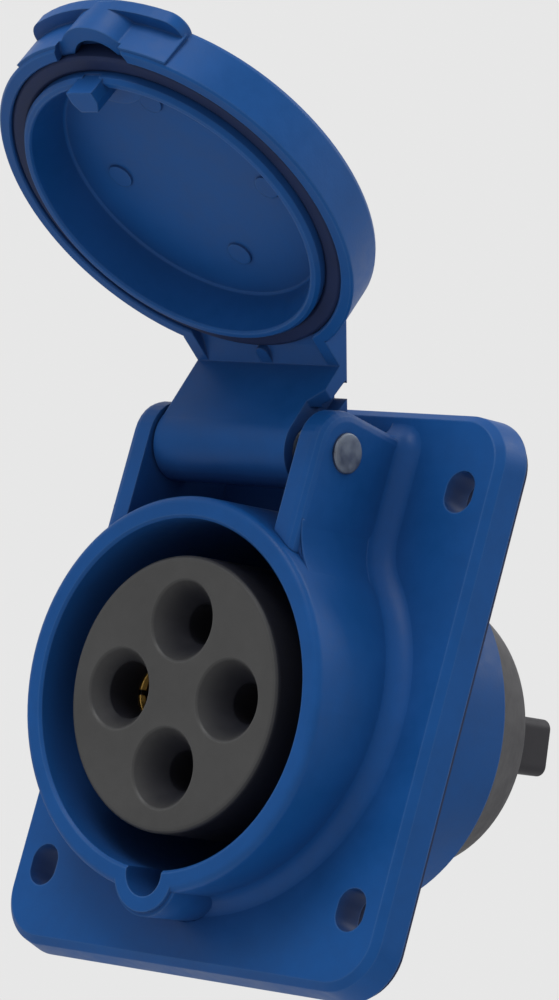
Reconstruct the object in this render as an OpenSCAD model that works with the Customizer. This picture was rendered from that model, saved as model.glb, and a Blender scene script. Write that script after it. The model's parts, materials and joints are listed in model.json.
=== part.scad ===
// Angled panel socket, three phase contacts and earth, with a hinged lid.
// X runs across the panel, Y runs backwards through the panel, Z is up.
// The origin is the centre of the fixing pattern, on the panel's face.
// The shroud's own frame has its z along the plug's axis, out of the mouth,
// its y up in the plane of the rim, and its origin at the rim's centre.

/* [Flange] */
// Width of the flange's face
face_w = 72.2; // [70:0.2:80]
// Height of the flange's face
face_h = 84.2; // [80:0.2:92]
// How far the flange's foot is wider than its face
foot_growth = 1.2; // [0.4:0.1:2]
// Distance from the panel to the flange's face
flange_t = 6.3; // [5.5:0.1:8]
// Radius of the flange's corners
corner_r = 8; // [6:0.5:9]
// Width of the bevel round the face
face_bevel = 1.1; // [0.5:0.1:1.5]
// Thickness of the flange's front wall
plate_t = 3; // [2.5:0.1:3.5]
// Thickness of the flange's side walls
skirt_t = 2.6; // [2:0.1:3]
// Thickness of the panel gasket
panel_gasket_t = 1.2; // [1:0.1:2]
// Setback of the panel gasket from the flange's foot
gasket_inset = 0.7; // [0.2:0.1:1]
// Radius of the cut-out in the panel
cutout_r = 33; // [32.5:0.1:33.2]

/* [Fixing slots] */
// Distance between the slots across the panel
slot_pitch_x = 60; // [58:0.5:61]
// Distance between the slots up the panel
slot_pitch_z = 61; // [60:0.5:64]
// Width of each slot
slot_w = 5; // [4.2:0.1:5.4]
// Length of each slot
slot_len = 6.2; // [5.6:0.1:7]
// Wall round each slot behind the flange
slot_wall = 2; // [1.5:0.1:2.2]

/* [Shroud] */
// Tilt of the plug's axis below the panel's normal
tilt = 11; // [8:0.5:12]
// Distance from the panel to the rim's centre
rim_out = 21.7; // [20:0.1:26]
// Drop of the rim's centre below the origin
rim_drop = 6.4; // [5:0.1:8]
// Bore of the shroud
bore_r = 25; // [24.8:0.1:25.2]
// Outer radius of the shroud
shroud_r = 28.2; // [28:0.1:28.6]
// Depth of the bore, from the rim to the carrier's shoulder
bore_depth = 35.5; // [34:0.5:37]
// Length of the shroud, from the rim to its back end
shroud_len = 41.3; // [41:0.1:43]
// Rounding of the rim's outer edge
rim_round = 1.1; // [0.8:0.1:1.3]
// Half width of the keyway
key_r = 3.4; // [3:0.1:3.6]
// Radius from the axis to the keyway's centre
key_pitch = 25.4; // [25:0.1:25.6]
// Radius of the boss round the keyway, in front of the panel
key_boss_r = 6.2; // [5.6:0.1:6.4]
// Radius of the ridge round the keyway, through the panel
key_ridge_r = 4.6; // [4.4:0.1:4.8]
// Radius of the fillet between the ears and the shroud
ear_fillet = 6; // [4:0.5:7]

/* [Hinge] */
// Height of the pin above the plug's axis, in the shroud's frame
pin_up = 36.5; // [36.3:0.1:37]
// Setback of the pin behind the rim, in the shroud's frame
pin_back = 10.4; // [10:0.1:11]
// Radius of the pin
pin_r = 2; // [1.5:0.1:2.2]
// Radial clearance between the pin and the barrel
pin_play = 0.06; // [0.04:0.01:0.1]
// Radius of the barrel
barrel_r = 5.5; // [5:0.1:5.7]
// Distance from the middle to the inner face of each ear
ear_gap = 14.4; // [14.2:0.1:15]
// Thickness of each ear
ear_t = 4; // [3:0.1:4.5]
// Radius of each ear round the pin
ear_r = 6; // [5.6:0.1:6.2]
// Rounding of each ear's outer edge
ear_round = 1.5; // [0.5:0.1:2]
// Angle of the lid above its closed place, as drawn
lid_open = 128; // [0:1:128]

/* [Lid] */
// Outer radius of the lid
lid_r = 29; // [28.8:0.1:29.4]
// Thickness of the lid's outer wall
lid_wall = 2; // [1.6:0.1:2.2]
// Depth of the lid, from its rim to its back
lid_h = 7.9; // [7.5:0.1:8.6]
// Gap between the lid's rim and the shroud's when the lid is shut
lid_gap = 0.3; // [0.2:0.1:0.5]
// Outer radius of the lid's inner ring
ring_r = 24.3; // [24:0.1:24.4]
// Thickness of the inner ring
ring_t = 1.5; // [1.2:0.1:1.6]
// Height of the inner ring above the lid's rim
ring_proud = 1.3; // [1:0.1:1.4]
// Depth of the lid's floor below its rim
floor_d = 5.5; // [5:0.1:5.6]
// Radius of the flat floor
floor_r = 21.5; // [21:0.1:21.8]
// Half width of the neck
neck_half = 13.8; // [13:0.1:14]
// Width of the neck's outer ribs
neck_rib = 2.2; // [1.8:0.1:2.6]
// Radius of the thumb tab's edge
tab_r = 31.3; // [30.5:0.1:33]
// Half angle of the thumb tab
tab_half = 29; // [20:1:32]
// Thickness of the thumb tab
tab_t = 2; // [1.6:0.1:2.4]
// Rounding of the thumb tab's ends
tab_round = 3; // [1:0.1:3.5]
// Height of the hook above the lid's rim
hook_proud = 3.9; // [1:0.1:4.2]

/* [Contacts] */
// Radius of the circle that the contacts lie on
contact_pitch = 10.5; // [10.3:0.1:10.7]
// Radius of the carrier's nose
nose_r = 19.8; // [19.6:0.1:20]
// Setback of the nose behind the rim
nose_back = 1; // [0.8:0.1:2]
// Radius of each funnel's mouth
funnel_r = 6; // [5.5:0.1:6.2]
// Bore of the phase contacts
phase_r = 2.55; // [2.5:0.01:2.6]
// Bore of the earth contact
earth_r = 3.55; // [3.5:0.01:3.6]
// Wall of the contacts
contact_wall = 1.3; // [1.1:0.1:1.4]
// Radius of the terminal block at its front end
block_r = 25.4; // [25:0.1:25.4]
// Radius of the terminal block at its back end
block_back_r = 21; // [20:0.5:23]
// Distance from the rim to the back of the terminal block
block_end = 56; // [54:0.5:58]
// Distance from the rim to the back of the terminal towers
tower_end = 69.5; // [66:0.5:71]
// Side of each terminal tower
tower_w = 8.6; // [8.4:0.1:9]

/* [Hidden] */
$fn = 96;

body_blue = [0.09, 0.33, 0.62];
carrier_grey = [0.28, 0.28, 0.28];
seal_black = [0.08, 0.08, 0.09];
brass = [0.80, 0.62, 0.28];
steel = [0.72, 0.73, 0.75];

eps = 0.01;
foot_y = -panel_gasket_t;                  // where the flange's foot meets the gasket
seat_r = bore_r + 1;                       // counterbore that the carrier seats in
seat_play = 0.1;                           // radial clearance of the carrier's flange
carrier_flange_t = 3;
foot_r = nose_r - 0.5;                     // foot of the carrier's nose, inside its flange
lip_w = 1;                                 // snap lip at the shroud's back end
carrier_back = bore_depth + carrier_flange_t;
seal_t = 1;                                // height of the seal ring's groove
pin_y = -rim_out - pin_up * sin(tilt) + pin_back * cos(tilt);
pin_z = -rim_drop + pin_up * cos(tilt) + pin_back * sin(tilt);
neck_edge = 29.9;                          // height where the neck's ramp meets its web
neck_slope = 40;                           // slope of the neck's outer face
gasket_sunk = 0.3;                         // setback of the lid gasket below the rim
gasket_t = 3;
groove_d = gasket_sunk + gasket_t;
leg_room_r = 6.3;                          // room round the pin for the spring's leg
ramp_sunk = 1.1;                           // depth of the neck's ramps where they start
lid_back_r = lid_r - 0.35;
bulge_x = 1.2;                             // place and radii of the pocket for the keyway
bulge_up = -24.6;
bulge_r = 6.8;
bulge_cut_r = 4.5;
bulge_sunk = 1.3;
coil_wire_r = 0.4;
coil_r = 3;
coil_turns = 5;
coil_pitch = 0.95;
coil_well_r = 3.7;
coil_well_d = 5.6;
terminal_r = 3.3;                          // outer radius of a sleeve's terminal
wire_r = 2.1;                              // bore for the wire in the terminal
screw_circle = 15.2;                       // radius that the insulators' screws lie on
barrel_left = ear_gap - 0.5;
barrel_right = 11.6;

// Places round the contact circle, clockwise from the top: the earth is on the left.
CONTACTS = [
    // name, angle, is earth, angle of its terminal screw
    ["l1", 90, false, 90], ["l2", 0, false, 90], ["l3", -90, false, -90], ["pe", 180, true, 90]
];

// ---- frames ----

// From the shroud's frame to the part's.
module on_axis() {
    translate([0, -rim_out, -rim_drop]) rotate([90 + tilt, 0, 0]) children();
}

// From the closed lid's place to the drawn one: a turn about the pin.
module swing(angle) {
    translate([0, pin_up, -pin_back]) rotate([-angle, 0, 0]) translate([0, -pin_up, pin_back]) children();
}

// From the lid's frame, with its origin at its rim's centre, to the part's.
module on_lid() {
    on_axis() swing(lid_open) translate([0, 0, lid_gap]) children();
}

// From a contact's own frame to the part's.
module on_contact(angle) {
    on_axis() translate([contact_pitch * cos(angle), contact_pitch * sin(angle), 0]) children();
}

// ---- shapes that repeat ----

// Rectangle with round corners, centred, in X and Z, and extruded from y0 to y1.
module panel_plate(w, h, r, y0, y1) {
    translate([0, y1, 0]) rotate([90, 0, 0]) linear_extrude(y1 - y0) round_rect(w, h, r);
}

module round_rect(w, h, r) {
    square([w - 2 * r, h], center = true);
    square([w, h - 2 * r], center = true);
    for (sx = [-1, 1], sy = [-1, 1]) {
        translate([sx * (w / 2 - r), sy * (h / 2 - r)]) circle(r);
    }
}

// Upright slot of width w and total length len, in X and Z, from y0 to y1.
module slot_cut(w, len, y0, y1) {
    translate([0, y1, 0]) rotate([90, 0, 0]) linear_extrude(y1 - y0) {
        square([w, len - w], center = true);
        for (s = [-1, 1]) translate([0, s * (len - w) / 2]) circle(w / 2, $fn = 48);
    }
}

module at_slots() {
    for (sx = [-1, 1], sz = [-1, 1]) {
        translate([sx * slot_pitch_x / 2, 0, sz * slot_pitch_z / 2]) children();
    }
}

// Rod along X between two places.
module rod_x(x0, x1, r) {
    translate([x0, 0, 0]) rotate([0, 90, 0]) cylinder(r = r, h = x1 - x0);
}

// Stepped turned shape: the profile is a list of [radius, height].
module turned(profile, fn = 96) {
    rotate_extrude($fn = fn) polygon(profile);
}

// ---- housing: one moulding, drawn as its shroud, its flange and its two ears ----

// Shroud that the plug goes into.
module housing() {
    color(body_blue) difference() {
        shroud_outside();
        on_axis() shroud_bore();
    }
}

// Flange that stands on the panel, cut where the shroud and the ears come through.
module flange() {
    color(body_blue) difference() {
        flange_shell();
        shroud_outside();
        for (side = [-1, 1]) ear_outside(side);
    }
}

// Ear that holds one end of the pin, with its fillet down to the shroud.
module pin_ear(side) {
    color(body_blue) difference() {
        ear_outside(side);
        on_axis() {
            shroud_tube();
            shroud_bore();
        }
        translate([0, pin_y, pin_z]) rod_x(-ear_gap - ear_t - 1, ear_gap + ear_t + 1, pin_r + 0.02);
    }
}

module shroud_outside() {
    on_axis() shroud_tube();
    in_front_of_panel() on_axis() key_boss(key_boss_r);
    on_axis() key_boss(key_ridge_r);
}

module ear_outside(side) {
    ear(side);
    in_front_of_panel() ear_fillet_block(side);
}

module flange_shell() {
    foot_w = face_w + foot_growth;
    foot_h = face_h + foot_growth;
    difference() {
        union() {
            hull() {
                panel_plate(face_w - 2 * face_bevel, face_h - 2 * face_bevel, corner_r - face_bevel,
                    -flange_t, -flange_t + 0.1);
                panel_plate(face_w, face_h, corner_r, -flange_t + face_bevel, -flange_t + face_bevel + 0.1);
            }
            hull() {
                panel_plate(face_w, face_h, corner_r, -flange_t + face_bevel, -flange_t + face_bevel + 0.1);
                panel_plate(foot_w, foot_h, corner_r, foot_y - 0.1, foot_y);
            }
        }
        difference() {
            panel_plate(face_w - 2 * skirt_t, face_h - 2 * skirt_t, corner_r - skirt_t,
                -flange_t + plate_t, foot_y + 1);
            at_slots() slot_cut(slot_w + 2 * slot_wall, slot_len + 2 * slot_wall, -flange_t, foot_y + 2);
        }
        at_slots() slot_cut(slot_w, slot_len, -flange_t - 1, foot_y + 1);
    }
}

// Solid core of the shroud, before it is bored.
module shroud_tube() {
    turned([
        [0, -shroud_len], [shroud_r - 0.4, -shroud_len], [shroud_r, -shroud_len + 0.4],
        for (a = [0:15:90]) [shroud_r - rim_round + rim_round * cos(a), -rim_round + rim_round * sin(a)],
        [0, 0]
    ]);
}

// Bore, its seat for the carrier, the snap lip and the keyway.
module shroud_bore() {
    turned([
        [0, -shroud_len - 1], [seat_r - 0.1, -shroud_len - 1], [block_r + seat_play, -shroud_len + 0.4],
        [block_r + seat_play, -shroud_len + lip_w], [seat_r, -shroud_len + lip_w],
        [seat_r, -bore_depth], [bore_r, -bore_depth], [bore_r, -0.4], [bore_r + 0.4, 0],
        [bore_r + 0.4, 1], [0, 1]
    ]);
    translate([0, -key_pitch, -bore_depth]) cylinder(r = key_r, h = bore_depth + 1, $fn = 64);
}

module key_boss(r) {
    translate([0, -key_pitch, -bore_depth - 1]) {
        cylinder(r = r, h = bore_depth + 1 - 0.6, $fn = 64);
        cylinder(r = r - 0.6, h = bore_depth + 1, $fn = 64);
    }
}

module in_front_of_panel() {
    intersection() {
        children();
        translate([-50, -flange_t + 0.5 - 60, -60]) cube([100, 60, 120]);
    }
}

// Ear: square to the panel, round at its front top corner about the pin,
// with a rounded edge along its outer face.
module ear(side) {
    mirror([side > 0 ? 0 : 1, 0, 0]) hull() {
        translate([ear_gap, 0, 0]) ear_slice(ear_r);
        for (a = [0:30:90])
            translate([ear_gap + ear_t - ear_round * (1 - sin(a)) - eps, 0, 0])
                ear_slice(ear_r - ear_round * (1 - cos(a)));
    }
}

// Thin slice of an ear whose front and top edges lie r from the pin.
module ear_slice(r) {
    foot_z = -rim_drop + 14;
    back = -flange_t + 0.5;
    rotate([90, 0, 90]) linear_extrude(eps) {
        translate([pin_y, pin_z]) circle(r, $fn = 32);
        translate([pin_y - r, foot_z]) square([back - pin_y + r, pin_z - foot_z]);
        translate([pin_y, foot_z]) square([back - pin_y, pin_z + r - foot_z]);
    }
}

// Fillet that runs the ear's outer face into the shroud, along the shroud.
module ear_fillet_block(side) {
    face_x = ear_gap + ear_t;
    cx = face_x + ear_fillet;
    reach = shroud_r + ear_fillet;
    cy = sqrt(reach * reach - cx * cx);
    tangent = shroud_r / reach;
    on_axis() translate([0, 0, -bore_depth]) mirror([side > 0 ? 0 : 1, 0, 0])
        linear_extrude(bore_depth - 3.2) difference() {
            polygon([
                [face_x - 1, cy], [face_x, cy], [cx * tangent, cy * tangent],
                [cx * tangent - 2, cy * tangent - 2], [face_x - 1, cy * tangent]
            ]);
            translate([cx, cy]) circle(ear_fillet);
        }
}

// ---- lid ----

module lid() {
    color(body_blue) on_lid() {
        difference() {
            union() {
                lid_dish();
                lid_neck();
                lid_bulge();
                lid_tab();
                floor_marks();
            }
            gasket_groove();
            neck_cuts();
            bulge_cuts();
            translate([0, pin_up, -lid_gap - pin_back]) {
                rod_x(-barrel_left - 1, barrel_right + 1, pin_r + pin_play);
                rod_x(barrel_right - coil_well_d, barrel_right + 1, coil_well_r);
            }
        }
        plug_hook();
    }
}

module lid_dish() {
    wall_in = lid_r - lid_wall;
    turned([
        [0, floor_d], [floor_r - 0.3, floor_d], [floor_r, floor_d - 0.3],
        [ring_r - ring_t, -ring_proud + 0.3], [ring_r - ring_t + 0.3, -ring_proud],
        [ring_r - 0.5, -ring_proud], [ring_r, -ring_proud + 0.7], [ring_r, groove_d],
        [wall_in, groove_d], [wall_in, 0.25], [wall_in + 0.25, 0], [lid_r - 0.35, 0], [lid_r, 0.35],
        [lid_back_r, lid_h - 0.9], [lid_back_r - 0.3, lid_h - 0.3], [lid_back_r - 0.9, lid_h],
        [floor_r + 1, lid_h], [floor_r + 0.4, lid_h - 0.4], [0, lid_h - 0.4]
    ], 128);
}

// Arm from the lid to the barrel: a web past the rim with a sloping outer face.
module lid_neck() {
    axis_z = -lid_gap - pin_back;
    touch_y = pin_up + barrel_r * sin(neck_slope);
    touch_z = axis_z + barrel_r * cos(neck_slope);
    start_z = lid_h - 0.5;
    start_y = touch_y - (start_z - touch_z) / tan(neck_slope);
    translate([-neck_half, 0, 0]) rotate([90, 0, 90]) linear_extrude(2 * neck_half) polygon([
        [ring_r - 2, groove_d], [ring_r + 1, groove_d], [ring_r + 1, 0], [neck_edge, 0],
        [pin_up - barrel_r, axis_z], [pin_up, axis_z], [touch_y, touch_z],
        [start_y, start_z], [ring_r - 2, start_z]
    ]);
    translate([0, pin_up, axis_z]) rod_x(-barrel_left, barrel_right, barrel_r);
}

// Room for the gasket, cut through everything that stands between the ring and the wall.
module gasket_groove() {
    translate([0, 0, -groove_d]) difference() {
        cylinder(r = lid_r - lid_wall, h = 2 * groove_d, $fn = 128);
        translate([0, 0, -1]) cylinder(r = ring_r, h = 2 * groove_d + 2, $fn = 128);
    }
}

module neck_cuts() {
    rib_at = neck_half - neck_rib / 2;
    // ramps between the three ribs, from the gasket's groove up to the web
    difference() {
        translate([-rib_at, 0, 0]) rotate([90, 0, 90]) linear_extrude(2 * rib_at) polygon([
            [ring_r, ramp_sunk + 0.6], [lid_r - lid_wall, ramp_sunk], [neck_edge, 0],
            [neck_edge, -2], [ring_r, -2]
        ]);
        translate([0, 0, -5]) cylinder(r = lid_r - lid_wall - eps, h = 10, $fn = 128);
        for (x = [-rib_at, 0, rib_at]) rib(x);
    }
    // the web narrows to the barrel on the right, clear of the spring's leg
    translate([0, pin_up, -lid_gap - pin_back]) {
        rod_x(barrel_right, neck_half + 1, leg_room_r);
        translate([0, -9, 0]) rotate([90, 0, 0]) mirror([0, 0, 1]) linear_extrude(20) polygon([
            [barrel_right, -8], [barrel_right, leg_room_r - 2.2],
            [neck_half, leg_room_r], [neck_half + 1, leg_room_r], [neck_half + 1, -8]
        ]);
    }
    // recess in the neck's right side, under its outer wall
    translate([neck_half - 2.4, neck_edge + 2.4, -pin_back + 5]) cube([5, 2.2, 5]);
}

// Place of one rib, round at its end by the gasket's groove.
module rib(x) {
    wall_in = lid_r - lid_wall;
    translate([x, sqrt(wall_in * wall_in - x * x) + neck_rib / 2, -5]) {
        cylinder(r = neck_rib / 2, h = 10, $fn = 32);
        translate([-neck_rib / 2, 0, 0]) cube([neck_rib, 10, 10]);
    }
}

// Pocket that covers the keyway's mouth, on the side away from the hinge.
module lid_bulge() {
    translate([bulge_x, bulge_up, bulge_sunk]) cylinder(r = bulge_r, h = lid_h - 0.9 - bulge_sunk, $fn = 64);
}

module bulge_cuts() {
    difference() {
        translate([bulge_x, bulge_up, -1]) cylinder(r = bulge_cut_r, h = 1 + groove_d, $fn = 64);
        translate([0, 0, -5]) cylinder(r = ring_r, h = 12);
    }
    // the rim steps down round the pocket
    difference() {
        translate([bulge_x, bulge_up - 1, -2]) cylinder(r = bulge_r - 0.2, h = 2 + bulge_sunk, $fn = 64);
        translate([0, 0, -5]) cylinder(r = ring_r, h = 12);
    }
    // gap in the ring round the hook
    translate([0, -ring_r, -3]) linear_extrude(3)
        polygon([[-1.2, -0.2], [1.2, -0.2], [5.5, 3.3], [-5.5, 3.3]]);
}

module lid_tab() {
    translate([0, 0, lid_h - 0.4 - tab_t]) linear_extrude(tab_t) difference() {
        offset(r = tab_round) offset(delta = -tab_round) tab_sector(tab_r);
        circle(lid_back_r - 1);
    }
    // low pad on the lid's wall, under the tab
    translate([0, 0, 0.4]) linear_extrude(lid_h - tab_t) difference() {
        tab_sector(lid_r + 0.4);
        circle(lid_back_r - 1);
    }
}

// Sector of a circle as wide as the tab, on the side away from the hinge.
module tab_sector(r) {
    intersection() {
        circle(r);
        polygon([[0, 0], for (s = [-1, 1]) [s * 2 * r * sin(tab_half), -2 * r * cos(tab_half)]]);
    }
}

// Nose that catches the plug's retaining rib; it dips between the shroud and the insert.
module plug_hook() {
    outer = -ring_r + 0.2;
    translate([0, 0, -hook_proud]) linear_extrude(hook_proud + floor_d + 0.4) polygon([
        [-2.4, outer], [2.4, outer], [2.4, outer + 1.9], [1.6, outer + 3.4], [-1.6, outer + 3.4],
        [-2.4, outer + 1.9]
    ]);
}

// Four low round marks on the lid's floor, each at an angle and a radius.
module floor_marks() {
    for (m = [[4, 13.6], [87, 13.6], [184, 13.6], [274, 14.8]])
        rotate(m[0]) translate([m[1], 0, floor_d - 0.35]) cylinder(r = 1.9, h = 1, $fn = 48);
}

module lid_gasket() {
    color(seal_black) on_lid() turned([
        [ring_r + 0.05, gasket_sunk + 0.3], [ring_r + 0.5, gasket_sunk], [lid_r - lid_wall - 0.5, gasket_sunk],
        [lid_r - lid_wall - 0.05, gasket_sunk + 0.3], [lid_r - lid_wall - 0.05, groove_d],
        [ring_r + 0.05, groove_d]
    ], 128);
}

// ---- hinge ----

// Pin with a domed head on the right and a bevelled end on the left.
module hinge_pin() {
    end_x = ear_gap + ear_t;
    head_r = 2.9;
    head_h = 1.1;
    color(steel) translate([0, pin_y, pin_z]) rotate([0, 90, 0]) turned([
        [0, -end_x - 0.6], [pin_r - 0.4, -end_x - 0.6], [pin_r, -end_x - 0.2], [pin_r, end_x],
        [head_r, end_x], [head_r, end_x + 0.35],
        for (a = [0:15:75]) [head_r * cos(a), end_x + 0.35 + (head_h - 0.35) * sin(a)],
        [0, end_x + head_h]
    ], 64);
}

// Torsion spring in the barrel's well, one leg in the neck and one on the flange.
module lid_spring() {
    x_in = barrel_right - coil_well_d + 0.6;
    x_out = x_in + coil_turns * coil_pitch;
    coil = [
        for (i = [0:12 * coil_turns]) let (a = 30 * i)
            [x_in + coil_pitch * i / 12, pin_y + coil_r * cos(a), pin_z + coil_r * sin(a)]
    ];
    route = concat(coil, [
        [x_out + 0.5, pin_y + coil_r, pin_z + 0.9],
        [barrel_right + 1.1, pin_y + coil_r + 0.3, pin_z + 2],
        [barrel_right + 1.3, -flange_t - 2.4, pin_z + 3.4],
        [barrel_right + 1.3, -flange_t - coil_wire_r - 0.05, pin_z + 3.6]
    ]);
    color(steel) wire(route, coil_wire_r);
}

// Round wire along a list of points, with 8 sides.
module wire(route, r) {
    n = len(route);
    sides = 8;
    dirs = [
        for (i = [0:n - 1]) let (d = route[min(i + 1, n - 1)] - route[max(i - 1, 0)]) d / norm(d)
    ];
    rings = [
        for (i = [0:n - 1])
            let (u0 = cross(dirs[i], [1, 0, 0]), u = u0 / norm(u0), v = cross(dirs[i], u))
                for (k = [0:sides - 1]) route[i] + r * (u * cos(360 * k / sides) + v * sin(360 * k / sides))
    ];
    polyhedron(
        points = rings,
        faces = concat(
            [[for (k = [0:sides - 1]) k]],
            [[for (k = [sides - 1:-1:0]) (n - 1) * sides + k]],
            [
                for (i = [0:n - 2], k = [0:sides - 1])
                    [i * sides + k, (i + 1) * sides + k, (i + 1) * sides + (k + 1) % sides, i * sides + (k + 1) % sides]
            ]
        )
    );
}

// ---- seals ----

module panel_gasket() {
    color(seal_black) difference() {
        panel_plate(face_w + foot_growth - 2 * gasket_inset, face_h + foot_growth - 2 * gasket_inset,
            corner_r - gasket_inset, foot_y, 0);
        translate([0, 1, 0]) rotate([90, 0, 0]) cylinder(r = cutout_r, h = panel_gasket_t + 2, $fn = 128);
        at_slots() slot_cut(slot_w, slot_len, foot_y - 1, 1);
    }
}

// Flat ring between the carrier's flange and the shroud's shoulder.
module carrier_seal() {
    color(seal_black) on_axis() turned([
        [bore_r + 0.05, -bore_depth - seal_t], [seat_r - 0.02, -bore_depth - seal_t],
        [seat_r - 0.02, -bore_depth], [bore_r + 0.05, -bore_depth]
    ]);
}

// ---- contact carrier and terminals ----

function sleeve_in(earth) = earth ? earth_r : phase_r;
function sleeve_out(earth) = sleeve_in(earth) + contact_wall;
function funnel_neck(earth) = earth ? 4.15 : 2.95;
function funnel_d(earth) = earth ? 2.6 : 4.8;
function sleeve_front(earth) = earth ? 9.8 : 13;

// Front insulator's nose, with the funnels that guide the plug's pins.
module contact_carrier() {
    color(carrier_grey) difference() {
        on_axis() turned([
            [0, -carrier_back], [foot_r, -carrier_back], [foot_r, -bore_depth], [nose_r, -bore_depth],
            for (a = [0:30:90]) [nose_r - 0.8 + 0.8 * cos(a), -nose_back - 0.8 + 0.8 * sin(a)],
            [0, -nose_back]
        ]);
        for (c = CONTACTS) on_contact(c[1]) carrier_hole(c[2]);
        for (a = [45, 225]) on_axis() rotate(a) translate([screw_circle, 0, -carrier_back - 1])
            cylinder(r = 1.3, h = 13, $fn = 32);
    }
}

// Front insulator's flange, round the foot of its nose, which seats in the shroud.
module carrier_flange() {
    color(carrier_grey) on_axis() turned([
        [foot_r + 0.02, -carrier_back], [seat_r - seat_play, -carrier_back],
        [seat_r - seat_play, -bore_depth - seal_t], [bore_r - 0.05, -bore_depth - seal_t],
        [bore_r - 0.05, -bore_depth], [foot_r + 0.02, -bore_depth]
    ]);
}

module carrier_hole(earth) {
    neck = funnel_neck(earth);
    well = sleeve_out(earth) + 0.9;
    turned([
        [0, -carrier_back - 1], [well, -carrier_back - 1], [well, -sleeve_front(earth) + 0.2],
        [neck, -sleeve_front(earth) + 0.2], [neck, -nose_back - funnel_d(earth)],
        [funnel_r - 0.3, -nose_back - 0.25], [funnel_r, -nose_back], [funnel_r, 0], [0, 0]
    ], 64);
}

// Rear insulator: holds the sleeves' back ends, with a square tower round each terminal.
module terminal_block() {
    color(carrier_grey) difference() {
        union() {
            on_axis() turned([
                [0, -block_end], [block_back_r - 2, -block_end], [block_back_r - 0.6, -block_end + 0.6],
                [block_back_r, -block_end + 2], [block_r, -shroud_len - 1.7],
                [block_r, -shroud_len + lip_w + 0.1],
                [seat_r - seat_play, -shroud_len + lip_w + 0.1], [seat_r - seat_play, -carrier_back],
                [0, -carrier_back]
            ]);
            for (c = CONTACTS) on_contact(c[1]) tower();
        }
        for (c = CONTACTS) on_contact(c[1]) block_hole(c[2], c[3]);
        for (a = [45, 225]) on_axis() rotate(a) translate([screw_circle, 0, -block_end - 1]) {
            cylinder(r = 1.6, h = 30, $fn = 32);
            cylinder(r = 3, h = 3, $fn = 48);
        }
    }
}

module tower() {
    hull() {
        translate([0, 0, -tower_end + 1.4]) linear_extrude(tower_end - block_end)
            round_rect(tower_w, tower_w, 1.6, $fn = 32);
        translate([0, 0, -tower_end]) linear_extrude(1)
            round_rect(tower_w - 2.4, tower_w - 2.4, 1.2, $fn = 32);
    }
}

// Bore for a sleeve, its collar's seat, the wire's way in and the screw's way in.
module block_hole(earth, screw_angle) {
    r = sleeve_out(earth);
    turned([
        [0, -tower_end - 1], [wire_r + 1.1, -tower_end - 1], [wire_r + 0.5, -tower_end + 0.8],
        [wire_r + 0.5, -tower_end + 2],
        [terminal_r, -tower_end + 2], [terminal_r, -carrier_back - 3],
        [r + 0.6, -carrier_back - 3], [r + 0.6, -carrier_back + 1], [0, -carrier_back + 1]
    ], 64);
    rotate(screw_angle) translate([0, 0, -tower_end + 5.5]) rotate([0, 90, 0])
        cylinder(r = 1.9, h = tower_w, $fn = 32);
}

// Turned sleeve, slit at its front, with a collar and a drilled terminal at its back.
module contact(earth) {
    r_in = sleeve_in(earth);
    r_out = sleeve_out(earth);
    front = sleeve_front(earth);
    color(brass) difference() {
        turned([
            [0, -tower_end + 2], [terminal_r, -tower_end + 2], [terminal_r, -carrier_back - 3],
            [r_out + 0.6, -carrier_back - 3], [r_out + 0.6, -carrier_back], [r_out, -carrier_back],
            [r_out, -front - 0.5], [r_out - 0.4, -front], [0, -front]
        ], 64);
        turned([
            [0, -carrier_back], [r_in, -carrier_back], [r_in, -front - 0.6], [r_in + 0.5, -front + eps],
            [r_in + 0.5, -front + 1], [0, -front + 1]
        ], 64);
        translate([0, 0, -tower_end]) cylinder(r = wire_r, h = 11, $fn = 48);
    }
}

module sleeve(name) {
    for (c = CONTACTS) if (c[0] == name) on_contact(c[1]) difference() {
        contact(c[2]);
        // cross slit that lets the sleeve spring
        for (a = [0, 90]) rotate(a) translate([-10, -0.35, -30]) cube([20, 0.7, 40]);
        screw_bore(c[3]);
    }
}

module screw_bore(angle) {
    rotate(angle) translate([0, 0, -tower_end + 5.5]) rotate([0, 90, 0]) cylinder(r = 1.5, h = 8, $fn = 32);
}

// Steel ring that keeps the slit sleeve closed on its pin.
module spring_ring(name) {
    for (c = CONTACTS) if (c[0] == name) color(steel) on_contact(c[1]) {
        r = sleeve_out(c[2]);
        translate([0, 0, -sleeve_front(c[2]) - 4]) turned([[r, 0], [r + 0.6, 0], [r + 0.6, 3], [r, 3]], 64);
    }
}

// Headless terminal screw with a slot, reached through the tower's wall.
module terminal_screw(name) {
    for (c = CONTACTS) if (c[0] == name) color(steel) on_contact(c[1])
        rotate(c[3]) translate([0, 0, -tower_end + 5.5]) rotate([0, 90, 0]) difference() {
            translate([0, 0, 2.15]) cylinder(r = 1.5, h = 2.5, $fn = 32);
            translate([-3, -0.3, 3.9]) cube([6, 0.6, 2]);
        }
}

// Screw that draws the two insulators together, from the back.
module carrier_screw(index) {
    color(steel) on_axis() rotate(index == 1 ? 45 : 225) translate([screw_circle, 0, 0]) difference() {
        turned([
            [0, -block_end + 0.1], [2.4, -block_end + 0.1], [2.8, -block_end + 0.5], [2.8, -block_end + 2],
            [1.3, -block_end + 2], [1.3, -carrier_back + 10], [0.9, -carrier_back + 10.6],
            [0, -carrier_back + 10.6]
        ], 48);
        translate([-4, -0.35, -block_end - 1]) cube([8, 0.7, 1.8]);
    }
}

housing();
flange();
pin_ear(-1);  // ear_left
pin_ear(1);  // ear_right
lid();
lid_gasket();
hinge_pin();
lid_spring();
panel_gasket();
carrier_seal();
carrier_flange();
contact_carrier();
terminal_block();
carrier_screw(1);  // carrier_screw_1
carrier_screw(2);  // carrier_screw_2
for (c = CONTACTS) {
    sleeve(c[0]);
    spring_ring(c[0]);
    terminal_screw(c[0]);
}
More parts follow.
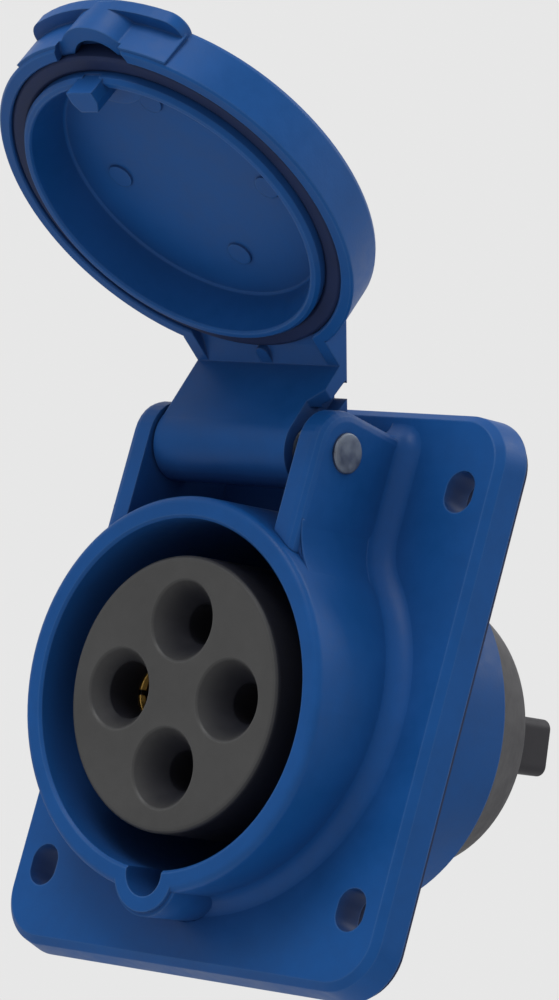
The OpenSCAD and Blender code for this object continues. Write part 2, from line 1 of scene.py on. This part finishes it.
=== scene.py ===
"""Angled panel socket with a hinged lid: finishes, blends and rivet, studio, lights and camera.

Everything is in metres, in the part's own frame: X across the panel, +Y back through it, Z up,
with the origin on the panel's face at the centre of the fixing slots.
"""
import json
import math

import bmesh
import bpy
from mathutils import Matrix, Vector


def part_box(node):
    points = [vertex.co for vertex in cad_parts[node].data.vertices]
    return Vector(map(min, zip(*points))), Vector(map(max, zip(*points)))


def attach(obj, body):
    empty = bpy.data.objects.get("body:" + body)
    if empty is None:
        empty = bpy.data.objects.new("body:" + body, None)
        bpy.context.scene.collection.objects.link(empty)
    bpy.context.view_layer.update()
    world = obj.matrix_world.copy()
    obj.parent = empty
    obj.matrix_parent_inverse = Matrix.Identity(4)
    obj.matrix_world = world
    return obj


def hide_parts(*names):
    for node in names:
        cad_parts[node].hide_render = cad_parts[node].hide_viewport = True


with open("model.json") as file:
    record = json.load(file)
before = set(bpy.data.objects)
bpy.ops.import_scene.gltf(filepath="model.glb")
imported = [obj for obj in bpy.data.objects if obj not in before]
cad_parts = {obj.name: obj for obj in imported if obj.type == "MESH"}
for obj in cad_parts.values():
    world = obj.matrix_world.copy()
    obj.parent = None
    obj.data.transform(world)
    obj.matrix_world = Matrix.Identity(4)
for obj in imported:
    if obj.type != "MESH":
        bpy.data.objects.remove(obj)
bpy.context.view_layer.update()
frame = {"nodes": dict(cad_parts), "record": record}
NODES = frame["nodes"]

MM = 0.001

# Start of a node's name: the slot whose finish it takes. A later, longer start wins over a shorter one.
SLOT_OF = {
    "housing": "body_plastic",
    "flange": "body_plastic",
    "ear_": "body_plastic",
    "lid": "lid_plastic",
    "lid_gasket": "seal_rubber",
    "hinge_pin": "pin_steel",
    "lid_spring": "spring_steel",
    "panel_gasket": "seal_rubber",
    "carrier_seal": "seal_rubber",
    "carrier_flange": "carrier_plastic",
    "contact_carrier": "carrier_plastic",
    "terminal_block": "block_plastic",
    "contact_l": "contact_brass",
    "contact_pe": "contact_brass",
    "spring_ring": "spring_steel",
    "terminal_screw": "screw_steel",
    "carrier_screw": "screw_steel",
}

# ---- camera, studio and lights ----

EYE = (0.45211, -0.48795, -0.11131)     # right of the socket, in front of it and a little below
AIM = (-0.00098, -0.00865, 0.02678)
ROLL = 15.02                    # degrees that the camera is turned about its line of sight
LENS = 167.86                   # mm
SENSOR = 36                     # mm
SIGHT = (0.01, 50)              # nearest and farthest that the camera sees

FLOOR_Z = -0.24
FLOOR_HALF = 4.0
FLOOR_TONE = (0.76, 0.80)       # darkest and palest of its faint clouds
STUDIO_WHITE = 0.80             # the tone of what lies behind the floor
FILL_LEVEL = 0.52               # light that comes evenly from all round

# name: place, width and height in metres, power in watts
LAMPS = {
    "key_softbox": ((0.02, -0.60, 0.66), (0.40, 0.40), 3.6),
    "floor_bounce": ((0.12, -0.32, -0.80), (0.70, 0.50), 3.8),
    "back_strip": ((0.40, 0.55, 0.85), (0.20, 0.70), 3.0),
}


def aim_at(place, target, roll=0.0):
    """Matrix of a camera or lamp at place that looks at target, turned by roll degrees."""
    back = (Vector(place) - Vector(target)).normalized()
    turned = back.to_track_quat("Z", "Y").to_matrix().to_4x4()
    return Matrix.Translation(place) @ turned @ Matrix.Rotation(math.radians(roll), 4, "Z")


def link(obj):
    bpy.context.scene.collection.objects.link(obj)
    return obj


def make_camera():
    """Camera in front of the socket's right side."""
    data = bpy.data.cameras.new("camera")
    data.lens = LENS
    data.sensor_width = SENSOR
    data.clip_start, data.clip_end = SIGHT
    camera = link(bpy.data.objects.new("camera", data))
    camera.matrix_world = aim_at(EYE, AIM, ROLL)
    bpy.context.scene.camera = camera


def make_lamps():
    for name, (place, size, power) in LAMPS.items():
        data = bpy.data.lights.new(name, "AREA")
        data.shape = "RECTANGLE"
        data.size, data.size_y = size
        data.energy = power
        lamp = link(bpy.data.objects.new(name, data))
        lamp.matrix_world = aim_at(place, (0, 0, 0))


# ---- material building ----

MOULD_GRAIN = 0.4 * MM
MOULD_RELIEF = 0.4 * MM         # height that the grain's strength is a share of
MOULD_BUMP = 0.03               # strength of the grain
MOULD_EDGE_R = 0.4 * MM
METAL_GRAIN = 0.25 * MM
METAL_RELIEF = 0.2 * MM
METAL_BUMP = 0.05
METAL_EDGE_R = 0.2 * MM
EDGE_WEAR_AND_HIGHLIGHT = 0.45                 # how much of the pale edge colour, rubbed wear with a painted highlight, a proud edge takes
PATCH_SCALE = 90.0              # flow patches along a metre
MOTTLE_SCALE = 600.0            # mottles along a metre


def new_tree(material):
    """The material's node tree, emptied."""
    material.use_nodes = True
    material.node_tree.nodes.clear()
    return material.node_tree


def add(tree, kind, wired=None, **settings):
    """A node of this kind, with its settings, and its inputs set or joined by name or number."""
    made = tree.nodes.new("ShaderNode" + kind)
    for name, value in settings.items():
        setattr(made, name, value)
    for name, value in (wired or {}).items():
        if isinstance(value, bpy.types.NodeSocket):
            tree.links.new(value, made.inputs[name])
        else:
            made.inputs[name].default_value = value
    return made


def maths(tree, operation, *values):
    return add(tree, "Math", dict(enumerate(values)), operation=operation).outputs[0]


def between(tree, value, low, high, out_low=0.0, out_high=1.0):
    """value taken from low...high to out_low...out_high, and held there."""
    return add(tree, "MapRange", {"Value": value, 1: low, 2: high, 3: out_low, 4: out_high}).outputs[0]


def cloud(tree, place, scale, detail):
    """Soft noise around 0.5; detail is its number of finer layers."""
    return add(tree, "TexNoise", {"Vector": place, "Scale": scale, "Detail": detail}).outputs["Fac"]


def blend_colours(tree, share, first, second):
    mix = add(tree, "Mix", data_type="RGBA")
    for number, value in ((0, share), (6, first), (7, second)):
        if isinstance(value, bpy.types.NodeSocket):
            tree.links.new(value, mix.inputs[number])
        else:
            mix.inputs[number].default_value = value
    return mix.outputs[2]


def start_group(name, inputs, outputs):
    """A node group with these sockets: inputs and outputs are name: (kind, value)."""
    tree = bpy.data.node_groups.new(name, "ShaderNodeTree")
    for side, rows in (("INPUT", inputs), ("OUTPUT", outputs)):
        for socket_name, (kind, value) in rows.items():
            socket = tree.interface.new_socket(socket_name, in_out=side, socket_type="NodeSocket" + kind)
            if side == "INPUT":
                socket.default_value = value
    return tree, tree.nodes.new("NodeGroupInput").outputs, tree.nodes.new("NodeGroupOutput").inputs


def srgb(red, green, blue):
    """Linear colour of an sRGB one from 0 to 255."""
    linear = [v / 255 / 12.92 if v <= 10 else ((v / 255 + 0.055) / 1.055) ** 2.4 for v in (red, green, blue)]
    return (*linear, 1.0)


def moulded_skin_group():
    """The skin of a moulding: faint flow patches in its colour and gloss, and fine spark grain."""
    tree, given, result = start_group(
        "moulded_skin",
        {
            "Colour": ("Color", (0.8, 0.8, 0.8, 1)),
            "Patchiness": ("Float", 0.1),
            "Gloss loss": ("Float", 0.35),
            "Gloss spread": ("Float", 0.1),
            "Grain size": ("Float", 0.0004),
        },
        {"Colour": ("Color", None), "Roughness": ("Float", None), "Height": ("Float", None)},
    )
    place = add(tree, "TexCoord").outputs["Object"]
    patches = cloud(tree, place, PATCH_SCALE, 2.0)
    mottle = cloud(tree, place, MOTTLE_SCALE, 2.0)
    grain = cloud(tree, place, maths(tree, "DIVIDE", 1.0, given["Grain size"]), 1.0)

    broad_tone = between(tree, patches, 0.3, 0.7, -0.7, 0.7)
    fine_tone = between(tree, mottle, 0.3, 0.7, -0.3, 0.3)
    tone = maths(tree, "MULTIPLY", maths(tree, "ADD", broad_tone, fine_tone), given["Patchiness"])
    shaded = add(tree, "HueSaturation", {"Value": maths(tree, "ADD", tone, 1.0), "Color": given["Colour"]})
    tree.links.new(shaded.outputs[0], result["Colour"])

    fine_dull = between(tree, mottle, 0.3, 0.7, -0.4, 0.4)
    broad_dull = between(tree, patches, 0.3, 0.7, -0.6, 0.6)
    dull = maths(tree, "ADD", fine_dull, broad_dull)
    dull = maths(tree, "MULTIPLY_ADD", dull, given["Gloss spread"], given["Gloss loss"])
    tree.links.new(dull, result["Roughness"])
    tree.links.new(grain, result["Height"])
    return tree


def soft_edges_group():
    """Rounded look of a moulding's corners, a mask of its proud edges (where rubbed wear and a painted
    highlight go) and one of its deep corners (where painted shade goes).
    """
    tree, given, result = start_group(
        "soft_edges",
        {
            "Radius": ("Float", 0.0004),
            "Corner reach": ("Float", 0.006),
            "Corner start": ("Float", 0.75),
            "Corner full": ("Float", 0.15),
        },
        {"Normal": ("Vector", None), "Worn and lit edge": ("Float", None), "Corner shade": ("Float", None)},
    )
    rounded = add(tree, "Bevel", {"Radius": given["Radius"]}, samples=6).outputs[0]
    flat = add(tree, "NewGeometry").outputs["Normal"]
    agree = add(tree, "VectorMath", {0: rounded, 1: flat}, operation="DOT_PRODUCT").outputs["Value"]
    # how open a point is to the sky: it places the painted shade in corners and keeps the painted edge
    # highlight off hollows
    sky = add(tree, "AmbientOcclusion", {"Distance": given["Corner reach"]}, samples=6).outputs["AO"]
    proud = between(tree, sky, 0.75, 0.95)
    tree.links.new(rounded, result["Normal"])
    # edge mask: proud edges where the rounded normal turns from the flat one, for rubbed wear with a painted
    # highlight
    tree.links.new(maths(tree, "MULTIPLY", between(tree, agree, 0.995, 0.9), proud), result["Worn and lit edge"])
    # corner mask: painted shade, full where the walls close in
    tree.links.new(between(tree, sky, given["Corner start"], given["Corner full"]), result["Corner shade"])
    return tree


GROUPS = {}


def use_group(tree, name, wired):
    """Outputs of a group placed in this tree, with its own values."""
    made = tree.nodes.new("ShaderNodeGroup")
    made.node_tree = GROUPS[name]
    for socket, value in wired.items():
        if isinstance(value, bpy.types.NodeSocket):
            tree.links.new(value, made.inputs[socket])
        else:
            made.inputs[socket].default_value = value
    return made.outputs


def moulded(name, colour, worn_and_lit_edge_colour, corner_shade_colour, dullness, specular, spread=0.1, patchiness=0.1,
            deep=0.5, reach=6 * MM, corners=(0.75, 0.15)):
    """Moulded plastic: its colour, paler on edges (rubbed wear with a painted highlight) and darker in
    corners (painted shade), its gloss and its grain.

    deep is how much of corner_shade_colour, the painted shade, a full corner takes, reach how near the walls
    of one are, and corners the open shares of the sky at which the painted shade starts and is full.
    """
    material = bpy.data.materials.new(name)
    tree = new_tree(material)
    skin = use_group(tree, "moulded_skin", {
        "Colour": colour, "Patchiness": patchiness, "Gloss loss": dullness, "Gloss spread": spread,
        "Grain size": MOULD_GRAIN,
    })
    edges = use_group(tree, "soft_edges", {
        "Radius": MOULD_EDGE_R, "Corner reach": reach, "Corner start": corners[0], "Corner full": corners[1],
    })
    # painted shade: corner_shade_colour blended in where the corners close in
    shown = blend_colours(tree, maths(tree, "MULTIPLY", edges["Corner shade"], deep), skin["Colour"], corner_shade_colour)
    # pale edges: rubbed wear with a painted highlight, in worn_and_lit_edge_colour
    shown = blend_colours(tree, maths(tree, "MULTIPLY", edges["Worn and lit edge"], EDGE_WEAR_AND_HIGHLIGHT), shown, worn_and_lit_edge_colour)
    bump = add(tree, "Bump", {
        "Strength": MOULD_BUMP, "Distance": MOULD_RELIEF, "Height": skin["Height"], "Normal": edges["Normal"],
    })
    shader = add(tree, "BsdfPrincipled", {
        "Base Color": shown, "Roughness": skin["Roughness"], "Normal": bump.outputs[0],
        "Specular IOR Level": specular,
    })
    output = add(tree, "OutputMaterial")
    tree.links.new(shader.outputs[0], output.inputs["Surface"])
    return material


def metal(name, colour, dullness, spread, patchiness=0.08):
    """Turned or drawn metal with a slightly tarnished skin."""
    material = bpy.data.materials.new(name)
    tree = new_tree(material)
    skin = use_group(tree, "moulded_skin", {
        "Colour": colour, "Patchiness": patchiness, "Gloss loss": dullness, "Gloss spread": spread,
        "Grain size": METAL_GRAIN,
    })
    edges = use_group(tree, "soft_edges", {"Radius": METAL_EDGE_R})
    bump = add(tree, "Bump", {
        "Strength": METAL_BUMP, "Distance": METAL_RELIEF, "Height": skin["Height"], "Normal": edges["Normal"],
    })
    shader = add(tree, "BsdfPrincipled", {
        "Base Color": skin["Colour"], "Roughness": skin["Roughness"], "Normal": bump.outputs[0],
        "Metallic": 1.0,
    })
    output = add(tree, "OutputMaterial")
    tree.links.new(shader.outputs[0], output.inputs["Surface"])
    return material


def make_materials():
    """The finishes, by the slot that takes each."""
    GROUPS["moulded_skin"] = moulded_skin_group()
    GROUPS["soft_edges"] = soft_edges_group()
    # each plastic: its own colour, the pale of its edges (rubbed wear with a painted highlight), then the
    # painted shade of its corners
    blue = moulded("blue_nylon", srgb(18, 77, 142), srgb(78, 120, 176), srgb(38, 54, 98), dullness=0.42,
                   specular=0.16, deep=0.65, reach=12 * MM, corners=(0.86, 0.3))
    grey = moulded("insert_nylon", srgb(72, 72, 72), srgb(98, 98, 98), srgb(27, 28, 37), dullness=0.42,
                   spread=0.08, specular=0.22, deep=0.9, reach=9 * MM, corners=(0.97, 0.62))
    block = moulded("block_thermoset", srgb(44, 43, 48), srgb(70, 70, 76), srgb(24, 24, 28), dullness=0.5,
                    spread=0.08, specular=0.25)
    # dark rubber, tinted blue as a painted reflection of the blue moulding around it
    rubber = moulded("seal_rubber", srgb(28, 42, 78), srgb(38, 52, 86), srgb(20, 30, 56), dullness=0.6,
                     spread=0.08, patchiness=0.2, specular=0.2)
    brass = metal("contact_brass", srgb(206, 166, 90), 0.3, 0.12)
    steel = metal("zinc_steel", srgb(118, 126, 138), 0.48, 0.25, patchiness=0.3)
    return {
        "body_plastic": blue, "lid_plastic": blue, "carrier_plastic": grey, "block_plastic": block,
        "seal_rubber": rubber, "contact_brass": brass, "pin_steel": steel, "spring_steel": steel,
        "screw_steel": steel,
    }


# ---- studio ----


def make_studio():
    """Even pale surround and a pale floor that takes the socket's shadow."""
    world = bpy.data.worlds.new("studio")
    bpy.context.scene.world = world
    world.use_nodes = True
    tree = world.node_tree
    tree.nodes.clear()
    path = add(tree, "LightPath").outputs
    seen = maths(tree, "MAXIMUM", path["Is Camera Ray"], path["Is Glossy Ray"])
    around = add(tree, "Background", {"Color": (1, 1, 1, 1), "Strength": FILL_LEVEL})
    behind = add(tree, "Background", {"Color": (1, 1, 1, 1), "Strength": STUDIO_WHITE})
    both = add(tree, "MixShader", {0: seen, 1: around.outputs[0], 2: behind.outputs[0]})
    output = add(tree, "OutputWorld")
    tree.links.new(both.outputs[0], output.inputs["Surface"])

    material = bpy.data.materials.new("pale_floor")
    tree = new_tree(material)
    cloudy = add(tree, "TexNoise", {"Scale": 3.0, "Detail": 2.0}).outputs["Fac"]
    tone = between(tree, cloudy, 0.3, 0.7, *FLOOR_TONE)
    grey = add(tree, "CombineColor", {0: tone, 1: tone, 2: tone}).outputs[0]
    surface = add(tree, "BsdfPrincipled", {"Base Color": grey, "Roughness": 0.9})
    gone = add(tree, "BsdfTransparent")
    below = add(tree, "NewGeometry").outputs["Backfacing"]
    one_sided = add(tree, "MixShader", {0: below, 1: surface.outputs[0], 2: gone.outputs[0]})
    output = add(tree, "OutputMaterial")
    tree.links.new(one_sided.outputs[0], output.inputs["Surface"])

    mesh = bpy.data.meshes.new("floor")
    h = FLOOR_HALF
    corners = [(-h, -h, FLOOR_Z), (h, -h, FLOOR_Z), (h, h, FLOOR_Z), (-h, h, FLOOR_Z)]
    mesh.from_pydata(corners, [], [(0, 1, 2, 3)])
    mesh.materials.append(material)
    link(bpy.data.objects.new("floor", mesh))


# ---- pieces ----

FILLET_R = 3.2 * MM
EAR_BLEND_R = 12 * MM
EAR_CORNER_R = 1.5 * MM
SUNK = 0.05 * MM                # how far a piece's edges lie under the faces that they join
BURIED = 0.4 * MM               # how far the flange fillet's hidden side lies inside the walls
FILLET_ROOT = 0.3 * MM          # how far it goes down into the flange
BLEND_ROOT = 0.5 * MM           # how far the ears' blends go down into the flange
FILLET_STEPS = 8
CORNER_STEPS = 4                # round an ear's corner
BLEND_STEPS = 12
TUBE_STEPS = 64                 # along the shroud, from an ear's blend to the bottom
RIVET_STEPS = 64
WELD = 0.001 * MM               # points closer than this are one
SHARP_ANGLE = math.radians(35)  # faces that meet more steeply keep a crisp edge


def new_piece(name, verts, faces, slot, body):
    """A closed mesh piece with its finish, riding on a body."""
    mesh = bpy.data.meshes.new(name)
    mesh.from_pydata([tuple(v) for v in verts], [], faces)
    tidy = bmesh.new()
    tidy.from_mesh(mesh)
    bmesh.ops.remove_doubles(tidy, verts=tidy.verts, dist=WELD)
    bmesh.ops.recalc_face_normals(tidy, faces=tidy.faces)
    tidy.to_mesh(mesh)
    tidy.free()
    mesh.polygons.foreach_set("use_smooth", [True] * len(mesh.polygons))
    mesh.set_sharp_from_angle(angle=SHARP_ANGLE)
    mesh.materials.append(FINISH[slot])
    piece = link(bpy.data.objects.new(name, mesh))
    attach(piece, body)
    return piece


def swept(sections):
    """Vertices and faces of a solid through these sections, each a closed loop of as many points."""
    size = len(sections[0])
    verts = [point for section in sections for point in section]
    faces = []
    for k in range(len(sections) - 1):
        here, there = k * size, (k + 1) * size
        for i in range(size):
            j = (i + 1) % size
            faces.append((here + i, here + j, there + j, there + i))
    faces.append(tuple(reversed(range(size))))
    faces.append(tuple(range(len(verts) - size, len(verts))))
    return verts, faces


def plug_axis():
    """A point on the plug's axis and its direction out of the shroud."""
    seat = next(m for m in frame["record"]["mounts"] if m["name"] == "plug_seat")
    return Vector(seat["pos_m"]), Vector(seat["axis"]).normalized()


def hinge_place():
    """A point on the hinge pin's axis."""
    return next(j for j in frame["record"]["behaviour"]["joints"] if j["name"] == "lid_hinge")["pos_m"]


def ear_face():
    """X of the right ear's outer face, beside the pin."""
    above = hinge_place()[2]
    return max(v.co.x for v in NODES["ear_right"].data.vertices if v.co.z > above)


def make_flange_fillet():
    """Concave fillet that runs the shroud and the ears into the flange's face."""
    seat, out = plug_axis()
    face_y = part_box("flange")[0][1]
    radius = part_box("housing")[1][0]
    ear_inside, ear_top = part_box("ear_right")[0][0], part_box("ear_right")[1][2]
    ear_outside = ear_face()
    centre = seat + out * ((face_y - seat.y) / out.y)
    stretch = 1 / -out.y                      # the tilted tube is this much taller where the face cuts it
    reach = radius + EAR_BLEND_R
    turn_x = ear_outside + EAR_BLEND_R
    turn_z = math.sqrt(reach ** 2 - turn_x ** 2)
    meet = math.atan2(turn_z, turn_x)         # angle on the tube at which the ear's blend meets it

    # half of the outline on the flange's face, from the ear's top down to the bottom: (x, z, nx, nz)
    half = [(ear_inside, ear_top, 0.0, 1.0)]
    for step in range(CORNER_STEPS + 1):
        angle = math.radians(90 - 90 * step / CORNER_STEPS)
        nx, nz = math.cos(angle), math.sin(angle)
        half.append((ear_outside - EAR_CORNER_R * (1 - nx), ear_top - EAR_CORNER_R * (1 - nz), nx, nz))
    half.append((ear_outside, centre.z + turn_z * stretch, 1.0, 0.0))
    for step in range(1, FILLET_STEPS + 1):
        angle = math.pi + meet * step / FILLET_STEPS
        half.append((turn_x + EAR_BLEND_R * math.cos(angle),
                     centre.z + (turn_z + EAR_BLEND_R * math.sin(angle)) * stretch,
                     -math.cos(angle), -math.sin(angle)))
    for step in range(1, TUBE_STEPS + 1):
        angle = meet - (meet + math.pi / 2) * step / TUBE_STEPS
        half.append((radius * math.cos(angle), centre.z + radius * math.sin(angle) * stretch,
                     math.cos(angle), math.sin(angle)))
    outline = half + [(-x, z, -nx, nz) for x, z, nx, nz in reversed(half[:-1])]

    inward = Vector((0, FILLET_ROOT, 0))
    sections = []
    for x, z, nx, nz in outline:
        away = Vector((nx, 0, nz)).normalized()
        foot = Vector((x, face_y + SUNK, z)) - away * SUNK
        on_ear_top = nz > 0.5 and z > centre.z + turn_z * stretch
        up_wall = Vector((0, -1, 0)) if on_ear_top else out
        loop = [foot + away * FILLET_R + inward]
        for step in range(FILLET_STEPS + 1):
            angle = math.radians(90 * step / FILLET_STEPS)
            loop.append(foot + away * (FILLET_R * (1 - math.sin(angle)))
                        + up_wall * (FILLET_R * (1 - math.cos(angle))))
        loop.append(foot + up_wall * FILLET_R - away * BURIED)
        loop.append(foot - away * BURIED + inward)
        sections.append(loop)
    verts, faces = swept(sections)
    new_piece("flange_fillet", verts, faces, "body_plastic", "base")


def make_ear_blends():
    """Wide concave blends that run the ears' outer faces into the shroud."""
    seat, out = plug_axis()
    up = out.cross(Vector((1, 0, 0)))
    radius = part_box("housing")[1][0] - SUNK
    ear_outside = ear_face() - SUNK
    turn_x = ear_outside + EAR_BLEND_R
    turn_up = math.sqrt((radius + EAR_BLEND_R) ** 2 - turn_x ** 2)
    meet = math.atan2(turn_up, turn_x)
    back = (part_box("flange")[0][1] - seat.y - up.y * turn_up) / out.y - BLEND_ROOT
    # points of the ear's own fillet, which spreads past its outer face
    feet = [v.co for v in NODES["ear_right"].data.vertices if v.co.x > ear_face() + 0.5 * MM]
    front = max((foot - seat).dot(out) for foot in feet) + SUNK

    turns = [math.pi + meet * step / BLEND_STEPS for step in range(BLEND_STEPS + 1)]
    arc = [(turn_x + EAR_BLEND_R * math.cos(turn), turn_up + EAR_BLEND_R * math.sin(turn)) for turn in turns]
    # the hidden side, within the shroud and the ear
    sideways, downwards = 1.2 * MM, 0.6 * MM
    inside = [
        (radius * math.cos(meet) - sideways, radius * math.sin(meet) - downwards),
        (ear_outside - sideways / 2, turn_up),
    ]
    for side, name in ((1, "ear_blend_right"), (-1, "ear_blend_left")):
        sections = [
            [seat + out * along + up * height + Vector((side * x, 0, 0)) for x, height in arc + inside]
            for along in (back, front)
        ]
        verts, faces = swept(sections)
        new_piece(name, verts, faces, "body_plastic", "base")


def make_hinge_rivet():
    """Pin with a flat pressed head on the right and a chamfered end on the left."""
    low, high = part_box("hinge_pin")
    hinge = hinge_place()
    seat = ear_face()
    shaft = 2.0 * MM
    head = (high[1] - low[1]) / 2
    thick = 0.55 * MM
    # radius and x, from the left end to the middle of the head
    profile = [
        (0.0, low[0]), (shaft * 0.55, low[0]), (shaft * 0.9, low[0] + 0.15 * MM), (shaft, low[0] + 0.4 * MM),
        (shaft, seat - SUNK), (head, seat - SUNK), (head, seat + thick * 0.6),
        (head - 0.12 * MM, seat + thick * 0.9), (head - 0.35 * MM, seat + thick),
        (head * 0.6, seat + thick * 0.94), (head * 0.3, seat + thick * 0.97), (0.0, seat + thick),
    ]
    verts, faces = [], []
    size = len(profile)
    for step in range(RIVET_STEPS):
        angle = 2 * math.pi * step / RIVET_STEPS
        for r, x in profile:
            verts.append(Vector((x, hinge[1] + r * math.cos(angle), hinge[2] + r * math.sin(angle))))
        here, there = step * size, (step + 1) % RIVET_STEPS * size
        for i in range(size - 1):
            faces.append((here + i, there + i, there + i + 1, here + i + 1))
    rivet = new_piece("hinge_rivet", verts, faces, "pin_steel", "base")
    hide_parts("hinge_pin")


def paint(obj, material):
    """Give an object one material in place of its own."""
    obj.data.materials.clear()
    obj.data.materials.append(material)


make_camera()
make_studio()
make_lamps()
FINISH = make_materials()
for start, slot in SLOT_OF.items():
    for name, node in NODES.items():
        if name.startswith(start):
            paint(node, FINISH[slot])

make_flange_fillet()
make_ear_blends()
make_hinge_rivet()

bpy.context.scene.view_settings.view_transform = "Standard"
